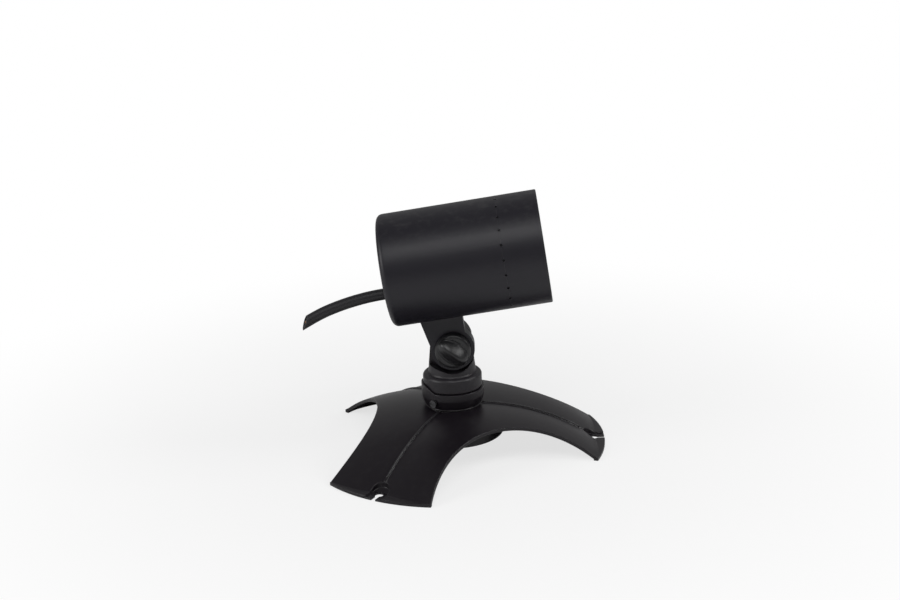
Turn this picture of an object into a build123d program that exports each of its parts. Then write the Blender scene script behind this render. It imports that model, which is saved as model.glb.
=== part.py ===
"""Adjustable garden spotlight on a three-footed base.

Millimetres, +Z up, +X the way the lamp shines, knob on the -Y side.  The origin is on the hub axis,
at the level of the ground that the feet stand on.
"""
from build123d import *
from math import atan2, cos, degrees, radians, sin, sqrt, tan
import os

os.makedirs("parts", exist_ok=True)

# ---- driving dimensions ----------------------------------------------------------------------

# base plate: a dished dome with three feet
FEET = 3
FOOT_REACH = 107.0          # hub axis to the tip of a foot
PETAL_RADIUS = 150.1        # three domes, one over each gap between two feet, meet in the folds
PETAL_SHIFT = 22.1          # hub axis to the centre of one of them
PETAL_CENTRE = -118.1       # height of that centre
PLATE = 2.2                 # moulded wall of the base
WAIST = 54.7                # hub axis to the edge between two feet
WAIST_RADIUS = 88.0         # radius of the concave edge between two feet
TIP_RIM = 3.0               # flat rim that a foot stands on
BEAD_WIDTH = 1.8            # raised bead in the fold
BEAD_HEIGHT = 0.6
POCKET_WIDTH = 13.0         # peg pocket at the tip of a foot
POCKET_LENGTH = 15.0
POCKET_DEPTH = 3.4
POCKET_WALL = 1.8
POCKET_SILL = 1.2           # floor left at the tip
PEG_HOLE_RADIUS = 3.0       # hole for a ground peg, open to the tip through a narrower mouth
PEG_HOLE_REACH = 99.5
PEG_MOUTH = 3.4

# hub and the parts under it
HUB_RADIUS = 22.2
HUB_FOOT_RADIUS = 18.6
HUB_TOP = 44.5
HUB_SHOULDER = 39.5
HUB_FLOOR = 35.6
CUP_BOTTOM = 27.4
SPIKE_BORE_RADIUS = 11.0    # socket for a ground spike, open downwards
SPIKE_BORE_LENGTH = 24.0
SPIKE_WALL = 2.6
RING_RADIUS = 35.0          # stiffening ring under the dome
RING_WALL = 2.4
RING_BOTTOM = 10.5
RIBS = 6
RIB_WALL = 2.0

# bayonet between hub and post
SKIRT_RADIUS = 19.8
SKIRT_BORE = 17.0
SKIRT_CLEARANCE = 0.08
BAYONET_LUG = 1.1           # how far a lug stands out of the skirt
BAYONET_BOTTOM = 40.4
BAYONET_TOP = 42.4
BAYONET_GAP = 0.3
BAYONET_SPAN = 8.0          # degrees of one lug
BAYONET_TURN = 10.0         # degrees from locked to free
TAB_FROM = 168.0            # locking tab that stands on the hub's rim
TAB_SPAN = 68.0
TAB_TOP = 48.4
TAB_SLOPE = 24.0            # slope of the tab's ramp, degrees
TAB_GAP = 0.5

# post (lower half of the knuckle)
FLANGE_RADIUS = 20.8
FLANGE_BOTTOM = 49.0        # underside of the solid part above the skirt
COLLAR_BOTTOM = 44.9        # lower edge of the collar outside the skirt
FLANGE_TOP = 55.5
COLUMN_FOOT = 16.8
COLUMN_HEAD = 14.7

# knuckle
PIVOT_X = 1.5
PIVOT_Z = 76.0
EYE_RADIUS = 15.2
EYE_FRONT = -14.0
EYE_BACK = -2.5
WASHER_THICKNESS = 1.0
WASHER_RADIUS = 12.5
EYE_ROOM = 17.6             # radius of the hollow in the post that the eye turns in
EAR_BACK = 12.6
BOLT_RADIUS = 3.0
BOLT_CLEARANCE = 0.08
NUT_ACROSS = 10.0
NUT_THICKNESS = 5.0

# knob
KNOB_RADIUS = 11.2
KNOB_DISC = 4.6
KNOB_WING = 7.6             # thickness of the wing
KNOB_WING_HEIGHT = 7.0
KNOB_ANGLE = -41.0
KNOB_WASHER_RADIUS = 8.0
KNOB_WASHER_THICKNESS = 1.0

# lamp head: stations are along the light's direction from the pivot, front positive
REST_PITCH = 7.34           # degrees above level
HEAD_Y = -8.0               # the head and the arm lie in this plane
AXIS_HEIGHT = 62.0          # pivot to the head's own axis
TILT = 62.0                 # degrees of tilt each way
ARM_GAP = 1.2               # room left round the arm
HEAD_RADIUS = 39.0
WALL = 2.5
REAR = -36.8
SEAM = 45.6
FRONT = 73.6
REAR_ROUND = 4.2
FRONT_ROUND = 0.9
SPIGOT_LENGTH = 8.0
SPIGOT_CLEARANCE = 0.1
REAR_LIP_RADIUS = 33.5
REAR_LIP = 5.0
SHELF_RADIUS = 31.9
SHELF = 2.0
RIM_RADIUS = 34.2           # opening of the front bezel
RIM_DEPTH = 7.4
DOTS = 24                   # small vent notches round the seam
DOT_RADIUS = 0.95
DOT_DEPTH = 1.3
ARM_REAR = -19.2            # where the arm meets the head, as stations
ARM_FRONT = 10.4

# inside the head
GASKET = 1.2
LENS = 4.0
LENS_RADIUS = 36.2
RETAINER = 3.0
RETAINER_BORE = 33.4
HEATSINK_FACE = 33.0
HEATSINK_PLATE = 4.0
HEATSINK_RADIUS = 36.2
FIN_LENGTH = 15.0
FIN_WALL = 1.6
FIN_PITCH = 7.0
FIN_COUNT = 7
FIN_ROOM = 26.0
BOSS_REACH = 27.0
BOSS_RADIUS = 3.6
BOSS_WEB = 3.0
SCREW_RADIUS = 1.45
SCREW_HOLE = 1.5
SCREW_HEAD_RADIUS = 2.7
SCREW_HEAD = 1.8
SCREW_LENGTH = 9.0
EMITTER_RADIUS = 9.0
EMITTER = 1.2
HOLDER_RADIUS = 18.0
HOLDER = 1.6
REFLECTOR_WALL = 1.2
BOARD_STATION = 0.0
BOARD = 1.6
BOARD_RADIUS = 32.0
TERMINAL = (-8.0, 6.0)      # place of the two-way terminal on the board
TERMINAL_DEPTH = 8.0
TERMINAL_PITCH = 5.0
TERMINAL_HEIGHT = 8.0
TERMINAL_HOLE = 5.0         # depth of a wire hole
LEAD_RADIUS = 0.8
LEAD_BEND = 1.6
LEAD_WAY = (3.5, -21.0)     # where the leads of the light source pass the heat sink

# rear cover, cable gland and cable
COVER = 2.8
COVER_RADIUS = 33.3
COVER_GASKET = 1.0
WELL_Y = 11.0               # centre of the cable well, from the head's axis
WELL_DROP = 19.5
WELL_RADIUS = 8.0
WELL_WALL = 1.4
WELL_FLOOR = -12.0
CHANNEL_WIDTH = 9.0
CHANNEL_DEPTH = 3.4
CABLE_RADIUS = 4.0
GLAND_RADIUS = 5.8
GLAND_FLANGE = 2.5
GLAND_NUT_LENGTH = 5.5
GLAND_ACROSS = 13.0
BOOT_TIP = -36.0

# free end of the cable, along its centre line
CABLE_ROUTE = [
    (-39.65, 3.0, 113.55),
    (-51.5, 3.0, 112.02),
    (-65.0, 3.4, 108.9),
    (-78.5, 4.0, 104.6),
    (-91.0, 4.0, 99.6),
    (-101.4, 3.2, 94.0),
]

# ---- places worked out from them -------------------------------------------------------------

knuckle = Vector(PIVOT_X, 0, PIVOT_Z)
light = Vector(cos(radians(REST_PITCH)), 0, sin(radians(REST_PITCH)))
upward = Vector(-sin(radians(REST_PITCH)), 0, cos(radians(REST_PITCH)))
head_origin = knuckle + upward * AXIS_HEIGHT + Vector(0, HEAD_Y, 0)
head_axis = Axis(head_origin, light)
head_side = Plane(origin=head_origin, x_dir=light, z_dir=(0, -1, 0))
arm_side = Plane(origin=knuckle, x_dir=light, z_dir=(0, -1, 0))
lip_front = FRONT - RIM_DEPTH
lens_front = lip_front - GASKET
lens_back = lens_front - LENS
retainer_back = lens_back - RETAINER
cover_back = REAR + COVER_GASKET + 0.2
cover_front = cover_back + COVER
ear_front = EYE_BACK + WASHER_THICKNESS
knob_back = EYE_FRONT - KNOB_WASHER_THICKNESS
boss_angles = [5, 125, 245]


def across(station):
    """Plane square to the head's axis: x towards +Y, y up from the arm."""
    return Plane(origin=head_origin + light * station, x_dir=(0, 1, 0), z_dir=light)


def behind(station):
    """The same plane seen from behind: x towards -Y, y up from the arm."""
    return Plane(origin=head_origin + light * station, x_dir=(0, -1, 0), z_dir=-light)


def facing(y, centre=knuckle):
    """Plane square to the tilt axis at a height y along it, seen from the knob's side."""
    return Plane(origin=(centre.X, y, centre.Z), x_dir=(1, 0, 0), z_dir=(0, -1, 0))


def band(start, end, inner, outer):
    """Rectangle of a turned ring, in a side sketch: stations start to end, radii inner to outer."""
    with Locations(((start + end) / 2, (inner + outer) / 2)):
        Rectangle(abs(end - start), outer - inner)


def sector(inner, outer, bottom, top, start, span, mode=Mode.ADD):
    """Part of a ring round the hub axis, from the angle start through span degrees."""
    with BuildSketch(Plane.XZ.rotated((0, 0, start))) as section:
        with Locations(((inner + outer) / 2, (bottom + top) / 2)):
            Rectangle(outer - inner, top - bottom)
    revolve(section.sketch, axis=Axis.Z, revolution_arc=span, mode=mode)


def screw(plane, places, length, head, head_radius, shank_radius):
    """Group of round-headed screws standing on plane, heads on its normal side."""
    with BuildSketch(plane) as heads:
        with Locations(*places):
            Circle(head_radius)
    extrude(heads.sketch, amount=head)
    with BuildSketch(plane) as shanks:
        with Locations(*places):
            Circle(shank_radius)
    extrude(shanks.sketch, amount=-length)


def around(radius, angles):
    """Points on a circle at the angles given."""
    return [(radius * cos(radians(a)), radius * sin(radians(a))) for a in angles]


# ---- base plate ------------------------------------------------------------------------------

foot_angles = [foot * 360 / FEET for foot in range(FEET)]
gap_angles = [angle + 180 / FEET for angle in foot_angles]
waist_centre = WAIST + WAIST_RADIUS
fold_x = PETAL_SHIFT * cos(radians(180 / FEET))
fold_radius = sqrt(PETAL_RADIUS**2 - (PETAL_SHIFT * sin(radians(180 / FEET))) ** 2)


def petals(offset, sole):
    """The three domes as one solid, lowered by offset, with a flat sole that thick, above the ground."""
    size = 4 * PETAL_RADIUS
    form = Pos(0, 0, sole - size / 2) * Cylinder(FOOT_REACH + TIP_RIM, size)
    for x, y in around(PETAL_SHIFT, gap_angles):
        form = form + Pos(x, y, PETAL_CENTRE) * Sphere(PETAL_RADIUS - offset)
    return form - Pos(0, 0, -size) * Box(2 * size, 2 * size, 2 * size)


plate_top = petals(0, PLATE)

# outline of the three feet, and the plate inside it; the rim of each tip stays solid
with BuildPart() as outline:
    with BuildSketch():
        Circle(FOOT_REACH)
        with Locations(*around(waist_centre, gap_angles)):
            Circle(WAIST_RADIUS, mode=Mode.SUBTRACT)
    extrude(amount=HUB_TOP)
room_under = petals(PLATE, -PLATE) & Cylinder(FOOT_REACH - TIP_RIM, 2 * HUB_TOP)
plate = (plate_top - room_under) & outline.part

# peg pocket of the foot at 0 degrees: its block and the hollow in it
pocket_start = FOOT_REACH - POCKET_LENGTH
pocket_block = Pos(FOOT_REACH - POCKET_LENGTH / 2 - POCKET_WALL, 0, HUB_TOP / 2) * Box(
    POCKET_LENGTH, POCKET_WIDTH + 2 * POCKET_WALL, HUB_TOP)
pocket_block = (pocket_block & plate_top) - Pos(0, 0, -POCKET_DEPTH - POCKET_WALL) * plate_top
with BuildPart() as pocket_hollow:
    with BuildSketch(Plane.XY.offset(POCKET_SILL)):
        with Locations((pocket_start + POCKET_WIDTH / 2, 0)):
            Circle(POCKET_WIDTH / 2)
        with Locations((FOOT_REACH + TIP_RIM / 2, 0)):
            Rectangle(2 * (POCKET_LENGTH - POCKET_WIDTH / 2) + TIP_RIM, POCKET_WIDTH)
    extrude(amount=HUB_TOP)
hollow = pocket_hollow.part - Pos(0, 0, -POCKET_DEPTH) * plate_top

# ring and ribs under the dome
with BuildPart() as under_frame:
    with BuildSketch(Plane.XY.offset(RING_BOTTOM)):
        Circle(RING_RADIUS)
        Circle(RING_RADIUS - RING_WALL, mode=Mode.SUBTRACT)
        with PolarLocations((RING_RADIUS + SPIKE_BORE_RADIUS) / 2, RIBS, start_angle=30):
            Rectangle(RING_RADIUS - SPIKE_BORE_RADIUS - RING_WALL, RIB_WALL)
    extrude(amount=HUB_TOP)
frame = under_frame.part & (Pos(0, 0, -PLATE / 2) * plate_top)

# locking tab on the hub's rim, one end of it a ramp; and the room that the collar leaves for it
ramp_foot = TAB_FROM + TAB_SPAN


def ramp_block(rise):
    """Everything above the ramp of the tab, raised by rise."""
    outward = Vector(cos(radians(ramp_foot)), sin(radians(ramp_foot)), 0)
    along = Vector(sin(radians(ramp_foot)), -cos(radians(ramp_foot)), 0)
    upward = Vector(0, 0, cos(radians(TAB_SLOPE))) - along * sin(radians(TAB_SLOPE))
    slope = Plane(origin=outward * HUB_RADIUS + Vector(0, 0, HUB_TOP + rise), x_dir=outward, z_dir=upward)
    with BuildPart() as block:
        with BuildSketch(slope):
            Rectangle(4 * HUB_RADIUS, 4 * HUB_RADIUS)
        extrude(amount=HUB_TOP)
    return block.part


with BuildPart() as tab_ring:
    sector(SKIRT_RADIUS + BAYONET_GAP, HUB_RADIUS, HUB_TOP - 1, TAB_TOP, TAB_FROM, TAB_SPAN)
tab = tab_ring.part - ramp_block(0)
with BuildPart() as tab_room_ring:
    sector(SKIRT_RADIUS + 0.2, FLANGE_RADIUS + 1, HUB_TOP, TAB_TOP + TAB_GAP,
           TAB_FROM - BAYONET_TURN - 2, TAB_SPAN + BAYONET_TURN + 4)
tab_room = tab_room_ring.part - ramp_block(TAB_GAP)

with BuildPart() as base_plate:
    add(plate)
    for angle in foot_angles:
        add(pocket_block.rotate(Axis.Z, angle))
        add(hollow.rotate(Axis.Z, angle), mode=Mode.SUBTRACT)
    with BuildSketch():
        with Locations(*around(PEG_HOLE_REACH, foot_angles)):
            Circle(PEG_HOLE_RADIUS)
        with PolarLocations(PEG_HOLE_REACH + POCKET_LENGTH / 2, FEET):
            Rectangle(POCKET_LENGTH, PEG_MOUTH)
    extrude(amount=HUB_TOP, mode=Mode.SUBTRACT)
    # bead along each fold
    for angle in foot_angles:
        fold_plane = Plane.XZ.rotated((0, 0, angle))
        with BuildSketch(fold_plane) as bead:
            with Locations((fold_x, PETAL_CENTRE)):
                Circle(fold_radius + BEAD_HEIGHT)
                Circle(fold_radius - PLATE / 2, mode=Mode.SUBTRACT)
            with Locations(((HUB_FOOT_RADIUS + pocket_start) / 2, HUB_TOP / 2)):
                Rectangle(pocket_start - HUB_FOOT_RADIUS, HUB_TOP, mode=Mode.INTERSECT)
        extrude(amount=BEAD_WIDTH / 2, both=True)
    # hub cup
    with BuildSketch(Plane.XZ) as cup:
        with BuildLine():
            Polyline(
                (0, CUP_BOTTOM),
                (0, HUB_TOP),
                (HUB_RADIUS, HUB_TOP),
                (HUB_RADIUS, HUB_SHOULDER),
            )
            ThreePointArc(
                (HUB_RADIUS, HUB_SHOULDER),
                (HUB_RADIUS - 1.1, HUB_SHOULDER - 4.4),
                (HUB_FOOT_RADIUS, HUB_FLOOR - 5.2),
            )
            Polyline(
                (HUB_FOOT_RADIUS, HUB_FLOOR - 5.2),
                (HUB_FOOT_RADIUS, CUP_BOTTOM),
                (0, CUP_BOTTOM),
            )
        make_face()
    revolve(axis=Axis.Z)
    skirt_bore = SKIRT_RADIUS + SKIRT_CLEARANCE
    with BuildSketch(Plane.XY.offset(HUB_FLOOR)):
        Circle(skirt_bore)
    extrude(amount=HUB_TOP, mode=Mode.SUBTRACT)
    # bayonet groove with its two way-ins
    lug_room = SKIRT_RADIUS + BAYONET_LUG + SKIRT_CLEARANCE
    for start in (60, 240):
        sector(skirt_bore - 1, lug_room, BAYONET_BOTTOM - BAYONET_GAP, BAYONET_TOP + BAYONET_GAP,
               start - BAYONET_SPAN / 2 - 2, BAYONET_SPAN + BAYONET_TURN + 4, mode=Mode.SUBTRACT)
        sector(skirt_bore - 1, lug_room, BAYONET_BOTTOM - BAYONET_GAP, HUB_TOP + 1,
               start - BAYONET_SPAN / 2 - 2 + BAYONET_TURN, BAYONET_SPAN + 4, mode=Mode.SUBTRACT)
    # locking tab on the rim
    add(tab)
    # spike socket, ring and ribs under the dome
    socket_top = HUB_FLOOR - 1.4
    socket_bottom = socket_top - SPIKE_BORE_LENGTH
    with BuildSketch(Plane.XY.offset(socket_bottom)):
        Circle(SPIKE_BORE_RADIUS + SPIKE_WALL)
    extrude(amount=SPIKE_BORE_LENGTH + 0.6)
    add(frame)
    with BuildSketch(Plane.XY.offset(socket_bottom)):
        Circle(SPIKE_BORE_RADIUS)
    extrude(amount=SPIKE_BORE_LENGTH, mode=Mode.SUBTRACT)
    # lock screw hole through the hub wall
    lock_angle = -126.0
    lock_z = BAYONET_BOTTOM - 2.6
    lock_plane = Plane(
        origin=(HUB_RADIUS * cos(radians(lock_angle)), HUB_RADIUS * sin(radians(lock_angle)), lock_z),
        z_dir=(cos(radians(lock_angle)), sin(radians(lock_angle)), 0),
    )
    with BuildSketch(lock_plane):
        Circle(SCREW_HOLE)
    extrude(amount=-4, mode=Mode.SUBTRACT)
base_plate.part.label = "base_plate"
export_step(base_plate.part, "parts/base_plate.step")

# lock screw: radial, through the hub wall against the skirt
with BuildPart() as lock_screw:
    with BuildSketch(lock_plane):
        Circle(SCREW_HEAD_RADIUS)
    extrude(amount=SCREW_HEAD)
    with BuildSketch(lock_plane):
        Circle(SCREW_RADIUS)
    extrude(amount=-(HUB_RADIUS - skirt_bore))
    with BuildSketch(lock_plane.offset(SCREW_HEAD)):
        Rectangle(SCREW_HEAD_RADIUS * 1.6, 0.7)
    extrude(amount=-SCREW_HEAD / 2, mode=Mode.SUBTRACT)
lock_screw.part.label = "lock_screw"
export_step(lock_screw.part, "parts/lock_screw.step")

# ---- post: skirt, flange, column and ear -----------------------------------------------------

arm_top = AXIS_HEIGHT - HEAD_RADIUS + WALL / 2
arm_room = [
    (-EYE_ROOM, 0),
    (ARM_REAR - ARM_GAP, arm_top),
    (ARM_FRONT + ARM_GAP, arm_top),
    (EYE_ROOM, 0),
]

with BuildPart() as swivel_post:
    with BuildSketch(Plane.XZ) as half:
        with BuildLine():
            Polyline(
                (0, FLANGE_BOTTOM),
                (SKIRT_BORE, FLANGE_BOTTOM),
                (SKIRT_BORE, HUB_FLOOR),
                (SKIRT_RADIUS, HUB_FLOOR),
                (SKIRT_RADIUS, COLLAR_BOTTOM),
                (FLANGE_RADIUS - 0.4, COLLAR_BOTTOM),
                (FLANGE_RADIUS, COLLAR_BOTTOM + 0.6),
                (FLANGE_RADIUS, FLANGE_TOP - 2.2),
            )
            ThreePointArc(
                (FLANGE_RADIUS, FLANGE_TOP - 2.2),
                (FLANGE_RADIUS - 1.0, FLANGE_TOP - 0.6),
                (COLUMN_FOOT + 0.6, FLANGE_TOP),
            )
            Polyline(
                (COLUMN_FOOT + 0.6, FLANGE_TOP),
                (COLUMN_FOOT, FLANGE_TOP + 1),
                (COLUMN_HEAD, PIVOT_Z),
                (COLUMN_HEAD, PIVOT_Z + EYE_RADIUS),
                (0, PIVOT_Z + EYE_RADIUS),
                (0, FLANGE_BOTTOM),
            )
        make_face()
    revolve(axis=Axis.Z)
    # the ear is round about the tilt axis; everything above it goes
    with BuildSketch(facing(EAR_BACK)) as above:
        with Locations((0, EYE_RADIUS)):
            Rectangle(4 * EYE_RADIUS, 2 * EYE_RADIUS)
        Circle(EYE_RADIUS, mode=Mode.SUBTRACT)
    extrude(amount=4 * EAR_BACK, both=True, mode=Mode.SUBTRACT)
    # flat back of the ear
    with BuildSketch(facing(EAR_BACK)):
        with Locations((0, EYE_RADIUS / 2 + FLANGE_TOP / 4)):
            Rectangle(4 * EYE_RADIUS, 2 * EYE_RADIUS + FLANGE_TOP / 2)
    extrude(amount=-EYE_RADIUS, mode=Mode.SUBTRACT)
    # room for the eye in front of the ear
    with BuildSketch(facing(ear_front)):
        Circle(EYE_ROOM)
        with Locations((0, EYE_ROOM)):
            Rectangle(2 * EYE_ROOM, 2 * EYE_ROOM)
    extrude(amount=2 * EYE_ROOM, mode=Mode.SUBTRACT)
    # room for the arm at both ends of its tilt
    for turn in (-TILT, TILT):
        with BuildSketch(arm_side.offset(-ear_front)) as swept:
            with Locations(Location((0, 0, 0), (0, 0, turn))):
                Polygon(*arm_room, align=None)
        extrude(amount=2 * EYE_ROOM, mode=Mode.SUBTRACT)
    # bolt hole and the nut's pocket
    with BuildSketch(facing(EAR_BACK)):
        Circle(BOLT_RADIUS + BOLT_CLEARANCE)
    extrude(amount=2 * EYE_RADIUS, mode=Mode.SUBTRACT)
    with BuildSketch(facing(EAR_BACK)):
        RegularPolygon(NUT_ACROSS / 2 + 0.1, 6, major_radius=False)
    extrude(amount=NUT_THICKNESS + 1, mode=Mode.SUBTRACT)
    # bayonet lugs
    for start in (60, 240):
        sector(SKIRT_RADIUS - 0.5, SKIRT_RADIUS + BAYONET_LUG, BAYONET_BOTTOM, BAYONET_TOP,
               start - BAYONET_SPAN / 2, BAYONET_SPAN)
    # room for the hub's locking tab
    add(tab_room, mode=Mode.SUBTRACT)
swivel_post.part.label = "swivel_post"
export_step(swivel_post.part, "parts/swivel_post.step")

with BuildPart() as clamp_nut:
    with BuildSketch(facing(EAR_BACK - 1)):
        RegularPolygon(NUT_ACROSS / 2, 6, major_radius=False)
        Circle(BOLT_RADIUS + BOLT_CLEARANCE, mode=Mode.SUBTRACT)
    extrude(amount=NUT_THICKNESS)
clamp_nut.part.label = "clamp_nut"
export_step(clamp_nut.part, "parts/clamp_nut.step")

# fibre washer that holds the tilt by friction
with BuildPart() as friction_washer:
    with BuildSketch(facing(ear_front)):
        Circle(WASHER_RADIUS)
        Circle(BOLT_RADIUS + 0.3, mode=Mode.SUBTRACT)
    extrude(amount=WASHER_THICKNESS)
friction_washer.part.label = "friction_washer"
export_step(friction_washer.part, "parts/friction_washer.step")

# ---- knob and bolt ---------------------------------------------------------------------------

wing_top = KNOB_DISC + KNOB_WING_HEIGHT
with BuildPart() as knob:
    with BuildSketch(facing(knob_back)):
        Circle(KNOB_RADIUS)
    extrude(amount=wing_top)
    fillet(knob.edges().filter_by(GeomType.CIRCLE).sort_by(Axis.Y)[0], 2.4)
    # two hollows leave a wing across the middle
    with BuildSketch(facing(knob_back - KNOB_DISC)) as sides:
        with Locations(Rot(0, 0, KNOB_ANGLE)):
            with Locations((0, KNOB_WING / 2 + KNOB_RADIUS), (0, -KNOB_WING / 2 - KNOB_RADIUS)):
                Rectangle(4 * KNOB_RADIUS, 2 * KNOB_RADIUS)
    extrude(amount=wing_top, mode=Mode.SUBTRACT)
    with BuildSketch(facing(knob_back)):
        Circle(BOLT_RADIUS)
    extrude(amount=KNOB_DISC + 1, mode=Mode.SUBTRACT)
knob.part.label = "knob"
export_step(knob.part, "parts/knob.step")

with BuildPart() as clamp_bolt:
    with BuildSketch(facing(knob_back - KNOB_DISC - 1)):
        Circle(BOLT_RADIUS)
    extrude(amount=-(EAR_BACK - 0.6 - knob_back + KNOB_DISC + 1))
    chamfer(clamp_bolt.edges().sort_by(Axis.Y)[-1], 0.6)
clamp_bolt.part.label = "clamp_bolt"
export_step(clamp_bolt.part, "parts/clamp_bolt.step")

with BuildPart() as knob_washer:
    with BuildSketch(facing(EYE_FRONT)):
        Circle(KNOB_WASHER_RADIUS)
        Circle(BOLT_RADIUS + 0.2, mode=Mode.SUBTRACT)
    extrude(amount=KNOB_WASHER_THICKNESS)
knob_washer.part.label = "knob_washer"
export_step(knob_washer.part, "parts/knob_washer.step")

# ---- lamp head: housing with its arm ---------------------------------------------------------

boss_points = around(BOSS_REACH, boss_angles)
boss_front = HEATSINK_FACE - HEATSINK_PLATE
bore = HEAD_RADIUS - WALL
well_at = (WELL_Y, -WELL_DROP)
well_angle = degrees(atan2(-WELL_DROP, WELL_Y))
dot_angles = [7.5 + 360 / DOTS * dot for dot in range(DOTS)]

with BuildPart() as vents:
    for angle in dot_angles:
        spot = Plane(across(SEAM).from_local_coords(Vector(*around(HEAD_RADIUS - DOT_DEPTH, [angle])[0], 0)),
                     z_dir=Vector(0, cos(radians(angle)), 0) + upward * sin(radians(angle)))
        with BuildSketch(spot):
            Circle(DOT_RADIUS)
        extrude(amount=2 * DOT_DEPTH)

with BuildPart() as housing:
    with BuildSketch(head_side):
        band(REAR, SEAM, bore, HEAD_RADIUS)
        band(REAR, REAR + REAR_LIP, REAR_LIP_RADIUS, HEAD_RADIUS - 1)
        band(cover_front + COVER_GASKET - 0.2, cover_front + COVER_GASKET + SHELF, SHELF_RADIUS, bore + 1)
        band(SEAM - 2, SEAM + SPIGOT_LENGTH, bore - WALL, bore - SPIGOT_CLEARANCE)
        band(SEAM - 4, SEAM - 1, bore - WALL, bore + 1)
    revolve(axis=head_axis)
    fillet(housing.edges().filter_by(GeomType.CIRCLE).filter_by(
        lambda e: abs(e.radius - HEAD_RADIUS) < 0.01).sort_by(head_axis)[0], REAR_ROUND)
    # arm down to the eye
    with BuildSketch(arm_side.offset(-EYE_BACK)) as arm:
        with BuildLine():
            rear_touch = (-EYE_RADIUS * cos(radians(12)), EYE_RADIUS * sin(radians(12)))
            front_touch = (EYE_RADIUS * cos(radians(47)), EYE_RADIUS * sin(radians(47)))
            Polyline(rear_touch, (ARM_REAR, arm_top), (ARM_FRONT, arm_top), front_touch, rear_touch)
        make_face()
        Circle(EYE_RADIUS)
    extrude(amount=EYE_BACK - EYE_FRONT)
    with BuildSketch(arm_side.offset(-EYE_BACK)):
        Circle(BOLT_RADIUS + BOLT_CLEARANCE)
    extrude(amount=EYE_BACK - EYE_FRONT, mode=Mode.SUBTRACT)
    # bosses for the rear cover and the driver board, then for the heat sink
    for start, end in ((cover_front, BOARD_STATION), (boss_front - 12, boss_front)):
        for angle in boss_angles:
            with BuildSketch(across(start)):
                with Locations(*around(BOSS_REACH, [angle])):
                    Circle(BOSS_RADIUS)
                with PolarLocations((BOSS_REACH + bore) / 2 + 0.5, 1, start_angle=angle):
                    Rectangle(bore - BOSS_REACH + 1, BOSS_WEB)
            extrude(amount=end - start)
    for start, end in ((cover_front, BOARD_STATION), (boss_front - 12, boss_front)):
        with BuildSketch(across(start)):
            with Locations(*boss_points):
                Circle(SCREW_HOLE)
        extrude(amount=end - start, mode=Mode.SUBTRACT)
    # seat of the rear gasket
    with BuildSketch(head_side):
        band(cover_front, cover_front + COVER_GASKET - 0.2, SHELF_RADIUS, REAR_LIP_RADIUS)
    revolve(axis=head_axis, mode=Mode.SUBTRACT)
    # way out of the rim for the cable
    with BuildSketch(across(REAR)):
        with PolarLocations(HEAD_RADIUS - REAR_LIP, 1, start_angle=well_angle):
            Rectangle(2 * REAR_LIP, CHANNEL_WIDTH)
    extrude(amount=CHANNEL_DEPTH, mode=Mode.SUBTRACT)
    add(vents.part, mode=Mode.SUBTRACT)
housing.part.label = "housing"
export_step(housing.part, "parts/housing.step")

with BuildPart() as front_bezel:
    with BuildSketch(head_side):
        band(SEAM, FRONT, bore, HEAD_RADIUS)
        band(lip_front, FRONT, RIM_RADIUS, bore + 1)
    revolve(axis=head_axis)
    fillet(front_bezel.edges().filter_by(GeomType.CIRCLE).sort_by(head_axis)[-2:], FRONT_ROUND)
    add(vents.part, mode=Mode.SUBTRACT)
front_bezel.part.label = "front_bezel"
export_step(front_bezel.part, "parts/front_bezel.step")

# ---- lens stack ------------------------------------------------------------------------------

with BuildPart() as lens_gasket:
    with BuildSketch(head_side):
        band(lens_front, lip_front, RIM_RADIUS + 0.3, LENS_RADIUS)
    revolve(axis=head_axis)
lens_gasket.part.label = "lens_gasket"
export_step(lens_gasket.part, "parts/lens_gasket.step")

with BuildPart() as lens:
    with BuildSketch(head_side):
        band(lens_back, lens_front, 0, LENS_RADIUS)
    revolve(axis=head_axis)
    chamfer(lens.edges().filter_by(GeomType.CIRCLE), 0.4)
lens.part.label = "lens"
export_step(lens.part, "parts/lens.step")

with BuildPart() as lens_retainer:
    with BuildSketch(head_side):
        band(retainer_back, lens_back, RETAINER_BORE, bore - 0.1)
    revolve(axis=head_axis)
lens_retainer.part.label = "lens_retainer"
export_step(lens_retainer.part, "parts/lens_retainer.step")

holder_front = HEATSINK_FACE + HOLDER
with BuildPart() as reflector:
    with BuildSketch(head_side):
        band(retainer_back - REFLECTOR_WALL, retainer_back, RETAINER_BORE - 3, bore - 0.3)
        with BuildLine():
            cup_front = (retainer_back, RETAINER_BORE - 1)
            cup_back = (holder_front, EMITTER_RADIUS + 0.6)
            belly = (holder_front + 9.0, 22.0)
            ThreePointArc(cup_back, belly, cup_front)
            Line(cup_front, (cup_front[0], cup_front[1] + REFLECTOR_WALL))
            ThreePointArc(
                (cup_front[0], cup_front[1] + REFLECTOR_WALL),
                (belly[0] - REFLECTOR_WALL * 0.8, belly[1] + REFLECTOR_WALL * 0.8),
                (cup_back[0], cup_back[1] + REFLECTOR_WALL),
            )
            Line((cup_back[0], cup_back[1] + REFLECTOR_WALL), cup_back)
        make_face()
    revolve(axis=head_axis)
reflector.part.label = "reflector"
export_step(reflector.part, "parts/reflector.step")

# ---- light source and heat sink --------------------------------------------------------------

with BuildPart() as led_emitter:
    with BuildSketch(head_side):
        band(HEATSINK_FACE, HEATSINK_FACE + EMITTER, 0, EMITTER_RADIUS)
    revolve(axis=head_axis)
led_emitter.part.label = "led_emitter"
export_step(led_emitter.part, "parts/led_emitter.step")

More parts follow.
